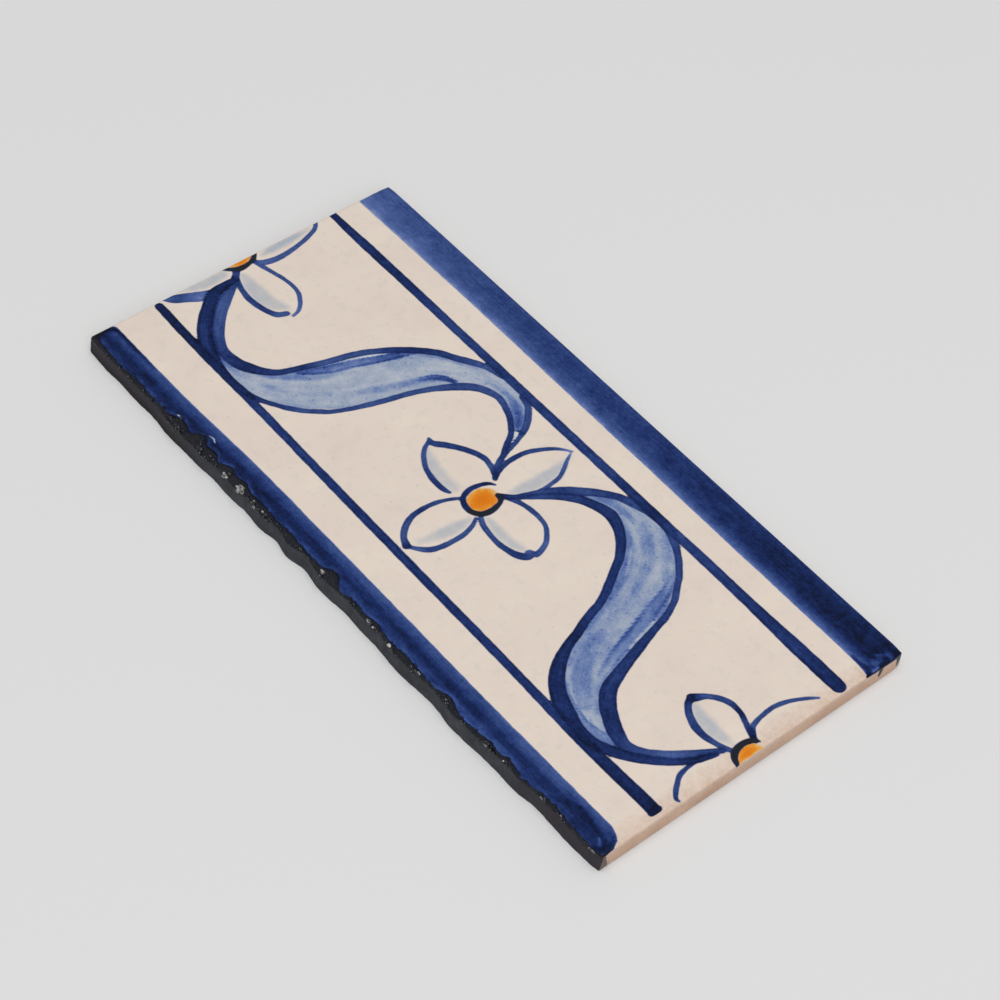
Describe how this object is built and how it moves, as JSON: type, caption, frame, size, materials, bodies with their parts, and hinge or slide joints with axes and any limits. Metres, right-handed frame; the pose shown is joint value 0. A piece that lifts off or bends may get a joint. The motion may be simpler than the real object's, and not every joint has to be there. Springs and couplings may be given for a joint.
{
  "type": "border tile",
  "caption": "Glazed clay border tile with a hand-painted scroll and flower run, three pressed sides and one snapped long side.",
  "frame": {"origin": "middle of the underside", "axes": "+X along the length towards the end with the bare clay side, +Y towards the clean long side, +Z out of the glazed face"},
  "size_m": [0.2, 0.098, 0.0057],
  "materials": {
    "glazed_clay": "cream tin glaze painted in cobalt blue, satin to gloss"
  },
  "bodies": {
    "root": {"tile": "glazed_clay"}
  },
  "joints": []
}
